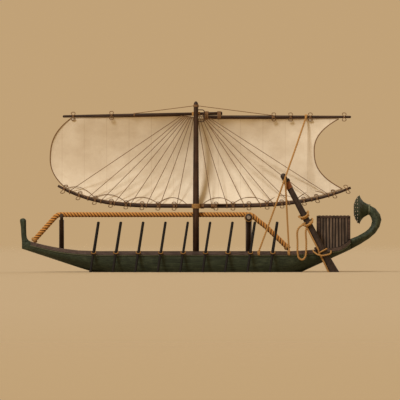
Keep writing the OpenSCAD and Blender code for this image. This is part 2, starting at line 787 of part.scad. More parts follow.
// ---- rowing oars ----

OAR_RAKE = 8;
OAR_LEAN = 25;
PIVOT_BELOW_RAIL = 50;
oar_pivot_z = freeboard - PIVOT_BELOW_RAIL;
function oar_x(i) = first_oar - oar_pitch * i;
function oar_y(x) = rail_face(x) + (oar_radius + oar_gap + PIVOT_BELOW_RAIL * sin(OAR_LEAN)) / cos(OAR_LEAN);

// frame of oar i on the port side: Z along the leaning plane, Y along the hinge
module at_oar(i) {
    translate([oar_x(i), oar_y(oar_x(i)), oar_pivot_z]) rotate([OAR_LEAN, 0, 0]) children();
}

// leaf that is widest towards its far end
LEAF_SKEW = 0.25;
module leaf(length, half_width) {
    polygon([for (a = [0:15:345])
        [half_width * sin(a) * (1 - LEAF_SKEW * cos(a)), -length * (1 - cos(a)) / 2]]);
}

GRIP_ROUND = 20;
module rowing_oar(i) {
    neck = oar_outboard - oar_blade_length;
    overlap = oar_blade_length / 2;
    color("black") at_oar(i) rotate([0, -OAR_RAKE, 0]) {
        rotate_extrude() polygon([[0, -neck - overlap], [oar_blade_thickness / 2, -neck - overlap],
            [oar_radius, -neck], [oar_radius, oar_inboard - GRIP_ROUND],
            [oar_radius - GRIP_ROUND, oar_inboard], [0, oar_inboard]]);
        translate([0, oar_blade_thickness / 2, -neck]) rotate([90, 0, 0])
            linear_extrude(oar_blade_thickness) leaf(oar_blade_length, oar_blade_half_width);
    }
}

module side_of(side) {
    mirror([0, side == "port" ? 0 : 1, 0]) children();
}

// rope loop that hangs outboard of the shaft, each of its ends let into the rail's face
LEG_IN_RAIL = 25;
LEG_THINNER = 2;
LEG_PAST = 9;
function leg_inboard(i, x) = (oar_y(oar_x(i)) - rail_face(oar_x(i) + x) + LEG_IN_RAIL) / cos(OAR_LEAN);

module oar_loops() {
    plane = oar_radius + oar_gap + loop_rope;
    color(ROPE) for (i = [0:OARS_PER_SIDE - 1]) at_oar(i) {
        for (x = [-loop_radius, loop_radius]) translate([x, -leg_inboard(i, x), 0]) rotate([-90, 0, 0])
            cylinder(r = loop_rope - LEG_THINNER, h = leg_inboard(i, x) + plane + LEG_PAST, $fn = 24);
        translate([0, plane, 0]) rotate([90, 0, 0]) rotate_extrude(angle = -180)
            translate([loop_radius, 0]) circle(loop_rope, $fn = 24);
    }
}

module port_oar_loops() { oar_loops(); }
module starboard_oar_loops() { side_of("starboard") oar_loops(); }

port_hull_bundle();
starboard_hull_bundle();
port_rail();
starboard_rail();
bow_post();
stern_stem();
stern_flower();
well_floor_boards();
foredeck();
afterdeck();
thwarts();
mast_thwart();
mast();
mast_step();
masthead_rings();
yard_fore_spar();
yard_aft_spar();
boom_fore_spar();
boom_aft_spar();
sail();
boom_parrel();
yard_parrel();
truss_rope();
truss_prop_fore();
truss_prop_aft();
cabin_port_wall();
cabin_starboard_wall();
cabin_fore_wall();
cabin_aft_wall();
cabin_roof();
steering_oar();
steering_beam();
steering_sling();
port_oar_loops();
starboard_oar_loops();
for (side = SIDES, i = [1:OARS_PER_SIDE])
    side_of(side) rowing_oar(i - 1);
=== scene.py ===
import json
import math

import bpy
from mathutils import Matrix, Vector
from mathutils.geometry import interpolate_bezier

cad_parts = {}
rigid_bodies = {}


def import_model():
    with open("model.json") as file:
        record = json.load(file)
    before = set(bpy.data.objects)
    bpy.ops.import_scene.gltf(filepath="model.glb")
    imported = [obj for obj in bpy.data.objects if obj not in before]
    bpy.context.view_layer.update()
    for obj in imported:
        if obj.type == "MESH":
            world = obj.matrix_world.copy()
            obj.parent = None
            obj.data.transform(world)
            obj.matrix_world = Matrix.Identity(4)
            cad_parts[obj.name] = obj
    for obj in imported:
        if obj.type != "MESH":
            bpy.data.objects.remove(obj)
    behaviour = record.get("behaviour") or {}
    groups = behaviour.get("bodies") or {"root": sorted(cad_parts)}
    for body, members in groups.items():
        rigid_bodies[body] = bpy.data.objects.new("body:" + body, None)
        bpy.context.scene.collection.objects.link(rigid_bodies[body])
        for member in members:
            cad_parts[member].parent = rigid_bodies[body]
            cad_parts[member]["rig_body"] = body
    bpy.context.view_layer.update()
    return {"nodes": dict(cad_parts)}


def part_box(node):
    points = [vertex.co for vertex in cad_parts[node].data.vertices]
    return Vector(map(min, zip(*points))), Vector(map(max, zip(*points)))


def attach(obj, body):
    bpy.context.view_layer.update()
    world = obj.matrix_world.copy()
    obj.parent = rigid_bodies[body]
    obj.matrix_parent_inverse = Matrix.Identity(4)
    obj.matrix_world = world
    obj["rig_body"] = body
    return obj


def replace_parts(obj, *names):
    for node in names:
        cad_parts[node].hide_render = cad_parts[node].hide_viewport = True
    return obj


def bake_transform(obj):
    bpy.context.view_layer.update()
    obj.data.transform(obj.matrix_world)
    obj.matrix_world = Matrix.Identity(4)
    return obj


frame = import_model()
bpy.ops.object.select_all(action="DESELECT")

# ---- Place: a wide pale sandy floor at the waterline, which fades into an even surround of the same
# tone, and soft light from above the bow. The camera stands far off the port side at eye level, so
# that the boat is seen flat and the floor hides what is under the water.
VIEW_WIDTH = 18.8
VIEW_DISTANCE = 500.0
VIEW_CENTRE = Vector((-0.19, 0.0, 3.38))
SURROUND = (0.535, 0.362, 0.187)
FLOOR = (0.489, 0.393, 0.250)
FLOOR_FADE = (150.0, 330.0)
FLOOR_RADIUS = 340.0

scene = bpy.context.scene
scene.view_settings.view_transform = "Standard"
scene.world = bpy.data.worlds.new("pale surround")
scene.world.use_nodes = True
scene.world.node_tree.nodes["Background"].inputs["Color"].default_value = (*SURROUND, 1)

camera_data = bpy.data.cameras.new("camera")
camera_data.lens = camera_data.sensor_width * VIEW_DISTANCE / VIEW_WIDTH
camera_data.clip_end = 1500
camera = bpy.data.objects.new("camera", camera_data)
camera.location = VIEW_CENTRE + Vector((0, VIEW_DISTANCE, 0))
camera.rotation_euler = (math.radians(90), 0, math.radians(180))
scene.collection.objects.link(camera)
scene.camera = camera

LAMPS = (("key", 2.1, 12, (46, 0, 148)), ("fill", 0.6, 40, (60, 0, -35)))
for lamp, strength, softness, turn in LAMPS:
    sun = bpy.data.lights.new(lamp, "SUN")
    sun.energy = strength
    sun.angle = math.radians(softness)
    holder = bpy.data.objects.new(lamp, sun)
    holder.rotation_euler = [math.radians(a) for a in turn]
    scene.collection.objects.link(holder)


class Value:
    """A number or colour that varies over a surface; arithmetic on it adds Math nodes."""

    def __init__(self, finish, socket):
        self.finish, self.socket = finish, socket

    def math(self, operation, *numbers):
        return self.finish.node("ShaderNodeMath", {"operation": operation}, dict(enumerate(numbers)))

    def __add__(self, other):
        return self.math("ADD", self, other)

    __radd__ = __add__

    def __mul__(self, other):
        return self.math("MULTIPLY", self, other)

    def __sub__(self, other):
        return self.math("SUBTRACT", self, other)

    def __rsub__(self, other):
        return self.math("SUBTRACT", other, self)

    def above(self, edge):
        return self.math("GREATER_THAN", self, edge)

    def at_most(self, ceiling):
        return self.math("MINIMUM", self, ceiling)

    def power(self, exponent):
        return self.math("POWER", self, exponent)

    def wave(self):
        return self.math("SINE", self)

    def part(self):
        return self.math("FRACT", self)

    def whole(self):
        return self.math("FLOOR", self)

    def size(self):
        return self.math("ABSOLUTE", self)

    def between(self, low, high):
        """0 at low and 1 at high, with soft ends."""
        return self.finish.node("ShaderNodeMapRange", {"interpolation_type": "SMOOTHSTEP"},
                                {"Value": self, "From Min": low, "From Max": high})


class Finish:
    """A procedural material on one Principled shader."""

    def __init__(self, name, roughness, **constants):
        self.material = bpy.data.materials.new(name)
        self.material.use_nodes = True
        self.tree = self.material.node_tree
        self.shader = self.tree.nodes["Principled BSDF"]
        self.shader.inputs["Roughness"].default_value = roughness
        for socket, value in constants.items():
            self.shader.inputs[socket.replace("_", " ")].default_value = value

    def put(self, socket, value):
        if isinstance(value, Value):
            self.tree.links.new(value.socket, socket)
        else:
            socket.default_value = value

    def node(self, kind, settings=None, inputs=None, output=0):
        made = self.tree.nodes.new(kind)
        for key, value in (settings or {}).items():
            setattr(made, key, value)
        for key, value in (inputs or {}).items():
            self.put(made.inputs[key], value)
        return Value(self, made.outputs[output])

    def place(self, scale, turn=(0, 0, 0)):
        """Object coordinates, turned by degrees and then scaled along each axis."""
        where = self.node("ShaderNodeTexCoord", output="Object")
        turned = self.node("ShaderNodeMapping", {}, {"Vector": where,
                                                     "Rotation": [math.radians(a) for a in turn]})
        return self.node("ShaderNodeMapping", {}, {"Vector": turned, "Scale": scale})

    def along(self, axis):
        """One Object coordinate, in metres."""
        where = self.node("ShaderNodeTexCoord", output="Object")
        return self.node("ShaderNodeSeparateXYZ", {}, {0: where}, output=axis)

    def unwrapped(self, axis):
        """One coordinate of the piece's own UV map."""
        uv = self.node("ShaderNodeUVMap", {"uv_map": "UVMap"})
        return self.node("ShaderNodeSeparateXYZ", {}, {0: uv}, output=axis)

    def noise(self, where, scale=1.0, detail=4.0, roughness=0.55):
        return self.node("ShaderNodeTexNoise", {}, {"Vector": where, "Scale": scale, "Detail": detail,
                                                    "Roughness": roughness})

    def mix(self, factor, a, b):
        colours = [c if isinstance(c, Value) else (*c, 1) for c in (a, b)]
        return self.node("ShaderNodeMix", {"data_type": "RGBA"},
                         {0: factor, 6: colours[0], 7: colours[1]}, output=2)

    def colour(self, value):
        self.put(self.shader.inputs["Base Color"], value)

    def rough(self, value):
        self.put(self.shader.inputs["Roughness"], value)

    def bump(self, height, strength, distance):
        self.put(self.shader.inputs["Normal"], self.node("ShaderNodeBump", {}, {
            "Height": height, "Strength": strength, "Distance": distance}))

    def coat(self, *objects):
        for obj in objects:
            obj.data.materials.clear()
            obj.data.materials.append(self.material)


SAND = Finish("pale sandy floor", 0.9)
grains = SAND.noise(SAND.place((1, 1, 1)), 0.8)
SAND.colour(SAND.mix(grains * 0.2, FLOOR, tuple(0.94 * c for c in FLOOR)))
reach = (SAND.along(0) * SAND.along(0) + SAND.along(1) * SAND.along(1)).power(0.5)
SAND.put(SAND.shader.inputs["Alpha"], 1.0 - reach.between(*FLOOR_FADE))

bpy.ops.mesh.primitive_circle_add(vertices=96, radius=FLOOR_RADIUS, fill_type="NGON")
floor = bpy.context.object
floor.name = "floor"
SAND.coat(floor)


# ---- Hull: two long halves of papyrus stalks, bound tight and laid side by side, with the rowers'
# well sunk between their thick sides. The stalks are stained a dark green, and fine lines and a dusty
# green wear show along them.
REED_DARK = (0.0095, 0.0145, 0.0080)
REED_LIGHT = (0.045, 0.060, 0.032)
REED_DUST = (0.115, 0.130, 0.080)


def reed_finish(name, scale=(0.9, 26.0, 34.0), turn=(0, 0, 0)):
    finish = Finish(name, 0.62, Specular_IOR_Level=0.3)
    stalks = finish.noise(finish.place(scale, turn), 1.0, 5.0, 0.6)
    patches = finish.noise(finish.place((2.2, 2.8, 3.4)), 1.0, 5.0, 0.68)
    specks = finish.noise(finish.place((11, 11, 11)), 1.0, 4.0, 0.7)
    tone = finish.mix(stalks.between(0.3, 0.7), REED_DARK, REED_LIGHT)
    dusty = finish.mix(patches.between(0.5, 0.8) * 0.45, tone, REED_DUST)
    finish.colour(finish.mix(specks.between(0.54, 0.75) * 0.55, dusty, REED_DARK))
    finish.rough(0.52 + stalks * 0.25)
    finish.bump(stalks * 0.8 + specks * 0.4, 0.6, 0.02)
    return finish


def merged_copy(node, name, angle=35):
    """A copy of a CAD node whose faces are joined and shaded smooth, which stands for the node."""
    source = frame["nodes"][node]
    copy = bpy.data.objects.new(name, source.data.copy())
    scene.collection.objects.link(copy)
    bpy.ops.object.select_all(action="DESELECT")
    copy.select_set(True)
    bpy.context.view_layer.objects.active = copy
    bpy.ops.object.mode_set(mode="EDIT")
    bpy.ops.mesh.select_all(action="SELECT")
    bpy.ops.mesh.remove_doubles(threshold=0.0002)
    bpy.ops.object.mode_set(mode="OBJECT")
    bpy.ops.object.shade_smooth_by_angle(angle=math.radians(angle))
    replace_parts(copy, node)
    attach(copy, source["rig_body"])
    return copy


HULL_REED = reed_finish("hull reed")
for side in ("port", "starboard"):
    HULL_REED.coat(merged_copy(side + "_hull_bundle", side + "_reed_hull", 32))


# ---- Rails: long timber planks pegged along the outside of the deck's edge, weathered to a purple
# brown, with a roll of green grass rope bound tight under each one.
def wood_finish(name, dark, light, grain=(1.0, 30.0, 30.0), turn=(0, 0, 0), roughness=0.55):
    finish = Finish(name, roughness, Specular_IOR_Level=0.28)
    lines = finish.noise(finish.place(grain, turn), 1.0, 6.0, 0.62)
    broad = finish.noise(finish.place((1.7, 1.7, 1.7)), 1.0, 4.0)
    pores = finish.noise(finish.place([4 * g for g in grain], turn), 1.0, 2.0)
    tone = finish.mix(lines.between(0.28, 0.72), dark, light)
    finish.colour(finish.mix(broad.between(0.4, 0.75) * 0.6, tone, tuple(0.6 * c for c in dark)))
    finish.rough(roughness - 0.1 + lines * 0.25)
    finish.bump(lines * 0.6 + pores * 0.4, 0.5, 0.008)
    return finish


RAIL_WOOD = wood_finish("rail timber", (0.038, 0.025, 0.021), (0.125, 0.088, 0.074))
for side in ("port", "starboard"):
    RAIL_WOOD.coat(merged_copy(side + "_rail", side + "_rail_plank", 30))

rail_edge = {}
for vertex in frame["nodes"]["port_rail"].data.vertices:
    station = rail_edge.setdefault(round(vertex.co.x, 3), [0.0, 0.0])
    station[0] = max(station[0], vertex.co.z)
    station[1] = max(station[1], vertex.co.y)
RAIL_STATIONS = sorted(rail_edge)
RAIL_HEIGHT = 0.16
RAIL_THICKNESS = 0.05


def along_rail(x):
    """Height of the rail's top, and distance of its face from the middle of the boat, at x."""
    x = min(max(x, RAIL_STATIONS[0]), RAIL_STATIONS[-1])
    for a, b in zip(RAIL_STATIONS, RAIL_STATIONS[1:]):
        if a <= x <= b:
            t = (x - a) / (b - a)
            return [rail_edge[a][k] * (1 - t) + rail_edge[b][k] * t for k in (0, 1)]


def smooth_path(points, step):
    """The points of a smooth line through the given ones, about step apart."""
    points = [Vector(p) for p in points]
    line = [points[0]]
    for k in range(len(points) - 1):
        a, b = points[k], points[k + 1]
        before = points[k - 1] if k else a - (b - a)
        after = points[k + 2] if k + 2 < len(points) else b + (b - a)
        reach = (b - a).length / 3
        start = a + (b - before).normalized() * reach
        end = b - (after - a).normalized() * reach
        count = max(2, round((b - a).length / step))
        line += interpolate_bezier(a, start, end, b, count + 1)[1:]
    return line


def rope_mesh(points, radius, strands=1, turn=None, sides=6):
    """Vertices, faces and UVs of a laid rope. With one strand its lay is in the UVs alone."""
    turn = turn or 7 * radius
    line = [Vector(p) for p in points]
    side = (line[1] - line[0]).orthogonal().normalized()
    around = strands * sides
    length = 0.0
    verts, faces, uvs = [], [], []
    for k, point in enumerate(line):
        ahead = (line[min(k + 1, len(line) - 1)] - line[max(k - 1, 0)]).normalized()
        side = (side - ahead * side.dot(ahead)).normalized()
        up = ahead.cross(side)
        if k:
            length += (point - line[k - 1]).length
        twist = 2 * math.pi * length / turn if strands > 1 else 0
        lay = 0 if strands > 1 else 3 * length / turn
        for i in range(around):
            a = 2 * math.pi * i / around
            groove = 0.24 * (1 - abs(math.sin(strands * a / 2)) ** 0.7) if strands > 1 else 0
            out = math.cos(a + twist) * side + math.sin(a + twist) * up
            verts.append(point + radius * (1 - groove) * out)
        if k:
            row = (k - 1) * around
            for i in range(around):
                j = (i + 1) % around
                faces.append((row + i, row + j, row + around + j, row + around + i))
                left, right = 3 * i / around, 3 * (i + 1) / around
                uvs.append(((left + last_lay, last_length), (right + last_lay, last_length),
                            (right + lay, length), (left + lay, length)))
        last_lay, last_length = lay, length
    end = (len(line) - 1) * around
    for face in (tuple(reversed(range(around))), tuple(range(end, end + around))):
        faces.append(face)
        uvs.append(((0.5, 0.0),) * around)
    return verts, faces, uvs


def mesh_piece(name, parts, finish, body, smooth=60):
    """One piece from several (vertices, faces, UVs) parts, coated and riding on a body."""
    verts, faces, uvs = [], [], []
    for part_verts, part_faces, part_uvs in parts:
        faces += [tuple(i + len(verts) for i in face) for face in part_faces]
        verts += part_verts
        uvs += part_uvs
    mesh = bpy.data.meshes.new(name)
    mesh.from_pydata(verts, [], faces)
    mesh.uv_layers.new(name="UVMap").data.foreach_set("uv", [c for face in uvs for uv in face for c in uv])
    piece = bpy.data.objects.new(name, mesh)
    scene.collection.objects.link(piece)
    bpy.ops.object.select_all(action="DESELECT")
    piece.select_set(True)
    bpy.context.view_layer.objects.active = piece
    bpy.ops.object.shade_smooth_by_angle(angle=math.radians(smooth))
    finish.coat(piece)
    if body:
        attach(piece, body)
    return piece


def rope_finish(name, groove, crown):
    finish = Finish(name, 0.85)
    # Painted shade: the groove colour is painted into the hollows between the strands, where shade falls, and
    # the crown colour onto the crests of the strands.
    strand = (finish.unwrapped(0).part() * math.pi).wave()
    fibres = finish.noise(finish.place((30, 30, 30)), 1.0, 5.0, 0.7)
    unshaded_crest = strand.between(0.05, 0.85) * (0.55 + fibres * 0.75)
    finish.colour(finish.mix(unshaded_crest.at_most(1.0), groove, crown))
    finish.bump(strand + fibres * 0.8, 0.6, 0.006)
    return finish


GRASS_ROPE = rope_finish("green grass rope", (0.045, 0.055, 0.030), (0.15, 0.16, 0.095))
ROLL_RADIUS = 0.032
ROLL_OUT = 0.006
for side, sign in (("port", 1), ("starboard", -1)):
    route = [(x, sign * (along_rail(x)[1] - RAIL_THICKNESS + ROLL_OUT),
              along_rail(x)[0] - RAIL_HEIGHT - 0.8 * ROLL_RADIUS) for x in RAIL_STATIONS]
    mesh_piece(side + "_grass_roll", [rope_mesh(smooth_path(route, 0.09), ROLL_RADIUS, 3, 0.42, 4)],
               GRASS_ROPE, "hull")


# ---- Decks, floor and thwarts: sawn planks of brown timber pegged down on the reeds, laid across
# the boat on the two decks and along it in the well.
def plank_finish(name, dark, light, axis, width, grain):
    """Boards of one width side by side along an axis, each in its own tone, with open seams."""
    finish = Finish(name, 0.6)
    position = finish.along(axis) * (1 / width)
    tone = finish.node("ShaderNodeTexWhiteNoise", {"noise_dimensions": "1D"}, {"W": position.whole()})
    seam = ((position.part() - 0.5).size() - 0.46).above(0.0)
    lines = finish.noise(finish.place(grain), 1.0, 6.0, 0.62)
    colour = finish.mix(lines * 0.6 + tone * 0.4, dark, light)
    finish.colour(finish.mix(seam, colour, tuple(0.25 * c for c in dark)))
    finish.rough(0.5 + lines * 0.2)
    finish.bump(lines * 0.3 - seam, 0.7, 0.01)
    return finish


DECK_DARK, DECK_LIGHT = (0.075, 0.046, 0.028), (0.20, 0.135, 0.080)
DECK_PLANKS = plank_finish("deck planks", DECK_DARK, DECK_LIGHT, 0, 0.22, (22, 1.1, 22))
FLOOR_PLANKS = plank_finish("floor planks", DECK_DARK, DECK_LIGHT, 1, 0.24, (1.1, 22, 22))
THWART_WOOD = wood_finish("thwart timber", DECK_DARK, DECK_LIGHT, (22, 1.1, 22))
for node in ("foredeck", "afterdeck"):
    DECK_PLANKS.coat(merged_copy(node, node + "_planks", 20))
FLOOR_PLANKS.coat(frame["nodes"]["well_floor_boards"])
THWART_WOOD.coat(frame["nodes"]["thwarts"], frame["nodes"]["mast_thwart"])

# ---- Bow post: the hull's fore end, turned up into a short round post of bound papyrus with a
# swelling head. Its stalks run up it, with the same dark green stain as the hull.
POST_REED = reed_finish("post reed", (26, 26, 1.2))
POST_REED.coat(merged_copy("bow_post", "bow_post_bundle", 40))

# ---- Stern stem and flower: the hull's after end sweeps up and over, narrowing to a round stalk that
# ends in an open papyrus flower. The flower is a bell of bound stalks in a ring of pointed green
# sepals, and pale florets stand in rings on its domed face.
def coil(centre, axis, reach, turns, length, start=0.0, points=14):
    """The line of a rope wound round an axis: reach is its two half widths, length its own spread."""
    axis = Vector(axis).normalized()
    across = axis.cross(Vector((0, 1, 0)))
    across = (across if across.length > 0.1 else axis.cross(Vector((0, 0, 1)))).normalized()
    other = axis.cross(across)
    count = round(turns * points)
    line = []
    for k in range(count + 1):
        a = 2 * math.pi * (start + turns * k / count)
        shift = axis * length * (k / count - 0.5)
        around = across * reach[0] * math.cos(a) + other * reach[1] * math.sin(a)
        line.append(Vector(centre) + shift + around)
    return line


def edit(obj):
    bpy.ops.object.select_all(action="DESELECT")
    obj.select_set(True)
    bpy.context.view_layer.objects.active = obj
    bpy.ops.object.mode_set(mode="EDIT")


def done(obj, name=None, smooth=None):
    """Back to object mode with the piece's place in its mesh."""
    bpy.ops.object.mode_set(mode="OBJECT")
    bpy.ops.object.transform_apply(location=True, rotation=True, scale=True)
    if smooth:
        bpy.ops.object.shade_smooth_by_angle(angle=math.radians(smooth))
    if name:
        obj.name = name
    return obj


def copied(obj, matrix):
    copy = obj.copy()
    copy.data = obj.data.copy()
    scene.collection.objects.link(copy)
    copy.data.transform(matrix)
    return copy


def joined(name, objects):
    bpy.ops.object.select_all(action="DESELECT")
    for obj in objects:
        obj.select_set(True)
    bpy.context.view_layer.objects.active = objects[0]
    bpy.ops.object.join()
    objects[0].name = name
    return objects[0]


def about(centre, axis, angle):
    """Turn about an axis through a point."""
    there = Matrix.Translation(centre)
    return there @ Matrix.Rotation(angle, 4, axis) @ there.inverted()


STEM_REED = reed_finish("stem reed", (7, 26, 7))
STEM_REED.coat(merged_copy("stern_stem", "stem_bundle", 45))

low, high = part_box("stern_flower")
FLOWER_MIDDLE = Vector((low[0], 0, (low[2] + high[2]) / 2))
STALK_RADIUS = 0.23
BELL_RINGS = [(0.11, 0.275), (0.14, 0.352), (0.09, 0.463), (0.06, 0.595), (0.03, 0.672), (0.03, 0.655)]
DOME_RINGS = [(0.07, 0.60), (0.08, 0.48), (0.06, 0.34), (0.035, 0.19)]
bpy.ops.object.select_all(action="DESELECT")
bpy.ops.mesh.primitive_circle_add(vertices=48, radius=STALK_RADIUS, fill_type="NGON",
                                  location=FLOWER_MIDDLE, rotation=(0, math.radians(90), 0))
bell = bpy.context.object
edit(bell)
bpy.ops.mesh.select_all(action="SELECT")
radius, ahead = STALK_RADIUS, 0.0
for step, wanted in BELL_RINGS + DOME_RINGS:
    ahead += step
    bpy.ops.mesh.extrude_region_move(TRANSFORM_OT_translate={"value": (step, 0, 0)})
    bpy.ops.transform.resize(value=(1, wanted / radius, wanted / radius),
                             center_override=FLOWER_MIDDLE + Vector((ahead, 0, 0)))
    radius = wanted
bpy.ops.mesh.select_all(action="SELECT")
bpy.ops.mesh.normals_make_consistent(inside=False)
done(bell, "flower_bell", 40)
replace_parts(bell, "stern_flower")
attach(bell, "hull")
FLOWER_GREEN = reed_finish("flower green", (2.2, 24, 24))
FLOWER_GREEN.coat(bell)

SEPALS = 16
SEPAL_STEPS = [(0.10, 0.045, 0.080), (0.13, 0.075, 0.110), (0.09, 0.110, 0.125), (0.065, 0.130, 0.105),
               (0.035, 0.085, 0.050), (0.012, 0.045, 0.012)]
foot = FLOWER_MIDDLE + Vector((0.02, 0, STALK_RADIUS + 0.004))
bpy.ops.object.select_all(action="DESELECT")
bpy.ops.mesh.primitive_plane_add(size=1, location=foot, rotation=(0, math.radians(90), 0))
sepal = bpy.context.object
sepal.scale = (0.020, 0.09, 1)
edit(sepal)
bpy.ops.mesh.select_all(action="SELECT")
tip, half = foot.copy(), 0.045
for forward, out, wanted in SEPAL_STEPS:
    tip += Vector((forward, 0, out))
    bpy.ops.mesh.extrude_region_move(TRANSFORM_OT_translate={"value": (forward, 0, out)})
    bpy.ops.transform.resize(value=(1, wanted / half, 0.9), center_override=tip)
    half = wanted
bpy.ops.mesh.select_all(action="SELECT")
bpy.ops.mesh.normals_make_consistent(inside=False)
bpy.ops.mesh.bevel(offset=0.004, segments=1)
done(sepal, smooth=50)
sepals = joined("flower_sepals", [sepal] + [
    copied(sepal, about(FLOWER_MIDDLE, "X", 2 * math.pi * k / SEPALS)) for k in range(1, SEPALS)])
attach(sepals, "hull")
SEPAL_GREEN = reed_finish("sepal green", (3, 40, 40))
SEPAL_GREEN.coat(sepals)

FLORET = Finish("pale florets", 0.7)
petals = FLORET.noise(FLORET.place((60, 60, 60)), 1.0, 3.0)
FLORET.colour(FLORET.mix(petals, (0.20, 0.16, 0.12), (0.52, 0.44, 0.34)))
FLORET.bump(petals, 0.5, 0.004)
DOME_BACK = FLOWER_MIDDLE.x + 0.46
FLORET_RINGS = ((0.605, 0.070, 22, 0.036), (0.44, 0.172, 14, 0.030), (0.26, 0.238, 8, 0.026))
florets = []
for radius, ahead, count, size in FLORET_RINGS:
    bpy.ops.object.select_all(action="DESELECT")
    bpy.ops.mesh.primitive_uv_sphere_add(segments=10, ring_count=6, radius=size,
                                         rotation=(0, math.radians(90), 0),
                                         location=(DOME_BACK + ahead, 0, FLOWER_MIDDLE.z + radius))
    floret = bpy.context.object
    edit(floret)
    bpy.ops.mesh.select_all(action="SELECT")
    bpy.ops.transform.resize(value=(0.7, 1, 1))
    done(floret, smooth=60)
    florets += [floret] + [copied(floret, about(FLOWER_MIDDLE, "X", 2 * math.pi * k / count))
                           for k in range(1, count)]
florets = joined("flower_florets", florets)
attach(florets, "hull")
FLORET.coat(florets)

GREEN_BINDING = [rope_mesh(coil(FLOWER_MIDDLE + Vector((-0.02, 0, 0)), (1, 0, 0), (0.238, 0.238), 6, 0.10),
                           0.012)]
mesh_piece("flower_binding", GREEN_BINDING, GRASS_ROPE, "hull")

# ---- Mast: a single straight trunk, dressed round and oiled dark brown, stepped on the floor boards
# and held by its own wide thwart. Two D-shaped rings for the halyards stand aft of its head, and a
# collar of rope goes round the head, from which two lines run to the yard.
WOOD_DARK, WOOD_LIGHT = (0.017, 0.0075, 0.004), (0.080, 0.037, 0.018)
UPRIGHT_WOOD = wood_finish("upright timber", WOOD_DARK, WOOD_LIGHT, (30, 30, 1.0))
UPRIGHT_WOOD.coat(merged_copy("mast", "mast_trunk", 40), frame["nodes"]["mast_step"],
                  merged_copy("masthead_rings", "halyard_rings", 40))

BROWN_ROPE = rope_finish("brown rope", (0.075, 0.034, 0.013), (0.27, 0.145, 0.060))
COLLAR_Z = 7.80
collar = coil((0, 0, COLLAR_Z), (0, 0, 1), (0.119, 0.119), 4, 0.10)
mesh_piece("masthead_collar", [rope_mesh(collar, 0.016)], BROWN_ROPE, "hull")

# ---- Spars: the yard and the boom are each two dark poles lashed together near the mast. The boom
# curves up to both its tips. Turns of rope bind the laps, and a stack of rope rings round the mast
# holds the boom to it while it turns.
SPAR_WOOD = wood_finish("spar timber", (0.017, 0.008, 0.0045), (0.074, 0.036, 0.019))
for node in ("yard_fore_spar", "yard_aft_spar", "boom_fore_spar", "boom_aft_spar"):
    SPAR_WOOD.coat(merged_copy(node, node.replace("_spar", "_pole"), 45))

SPAR_Y = -0.267
BOOM_HEIGHT = 3.09
BOOM_RADIUS = 0.085
BOOM_TIPS = (-7.28, 6.49)
YARD_HEIGHT = 7.43
YARD_TIPS = (-7.30, 6.27)
YARD_RADIUS = 0.075
YARD_DROOP = 0.12
YARD_LAP_X = -0.34
YARD_STEP = 0.152
YARD_AFT_Z = YARD_HEIGHT - YARD_DROOP * YARD_LAP_X / YARD_TIPS[1] - YARD_STEP
BOOM_SHEER = (0.87, 0.96)
TIP_RADIUS = 0.058


def boom_z(x):
    return BOOM_HEIGHT + (BOOM_SHEER[1] * (x / BOOM_TIPS[1]) ** 4 if x > 0
                          else BOOM_SHEER[0] * (x / BOOM_TIPS[0]) ** 3.6)


def eased(t):
    t = min(1.0, max(0.0, t))
    return t * t * (3 - 2 * t)


def yard_z(x):
    return YARD_HEIGHT - YARD_DROOP * x / YARD_TIPS[1] if x > YARD_LAP_X else YARD_AFT_Z


def spar_radius_at(x, tips, greatest):
    share = abs(x) / (tips[1] if x > 0 else -tips[0])
    return greatest + (TIP_RADIUS - greatest) * min(1, max(0, 2 * share - 1))


GOLD_ROPE = rope_finish("gold rope", (0.15, 0.062, 0.015), (0.58, 0.32, 0.095))
lashings = []
for x in (-1.10, -0.50):
    middle = (x, SPAR_Y, yard_z(x) + 0.075)
    lashings.append(rope_mesh(coil(middle, (1, 0, 0), (0.185, 0.100), 6, 0.17), 0.014))
for x in (-0.80, -0.30):
    middle = (x, SPAR_Y - 0.075, boom_z(x))
    lashings.append(rope_mesh(coil(middle, (1, 0, 0), (0.105, 0.190), 6, 0.17), 0.014))
mesh_piece("spar_lashings", lashings, BROWN_ROPE, "rig")

rings = [rope_mesh(coil((0, 0, BOOM_HEIGHT + 0.043 * k), (0, 0, 1), (0.1825, 0.1825), 1.03, 0.0, 0.1 * k, 32),
                   0.0225, 3, 0.15, 4) for k in (-2, -1, 0, 1, 2)]
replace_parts(mesh_piece("boom_parrel_rings", rings, GOLD_ROPE, "rig"), "boom_parrel")
GOLD_STRAND = wood_finish("gold strands", (0.20, 0.085, 0.022), (0.55, 0.31, 0.10), (9, 9, 60),
                          roughness=0.8)
GOLD_STRAND.coat(frame["nodes"]["yard_parrel"])


# ---- Sail: one wide sheet of cream linen between the yard and the boom, of panels sewn side by side.
# It is bent to both spars along its head and foot, its two leeches both curve towards the bow, and
# the wind bellies it to starboard. A brown bolt rope is sewn to its edges.
SAIL_FOOT = (-6.89, 6.11)
SAIL_HEAD = (-6.72, 5.86)
LEECH_BOW = (1.24, 0.86)
BELLY = 0.70
CLOTH_GAP = 0.012


def leech_x(end, v):
    """Where a leech stands at height v, from 0 at the foot to 1 at the head."""
    bow = LEECH_BOW[end] * (1 - abs(2 * v - 1) ** 2.5)
    return SAIL_FOOT[end] + (SAIL_HEAD[end] - SAIL_FOOT[end]) * v + bow


def sail_head_z(x):
    fore = YARD_HEIGHT - YARD_DROOP * x / YARD_TIPS[1]
    return YARD_AFT_Z + (fore - YARD_AFT_Z) * eased((x + 0.29) / 0.90) - YARD_RADIUS - CLOTH_GAP


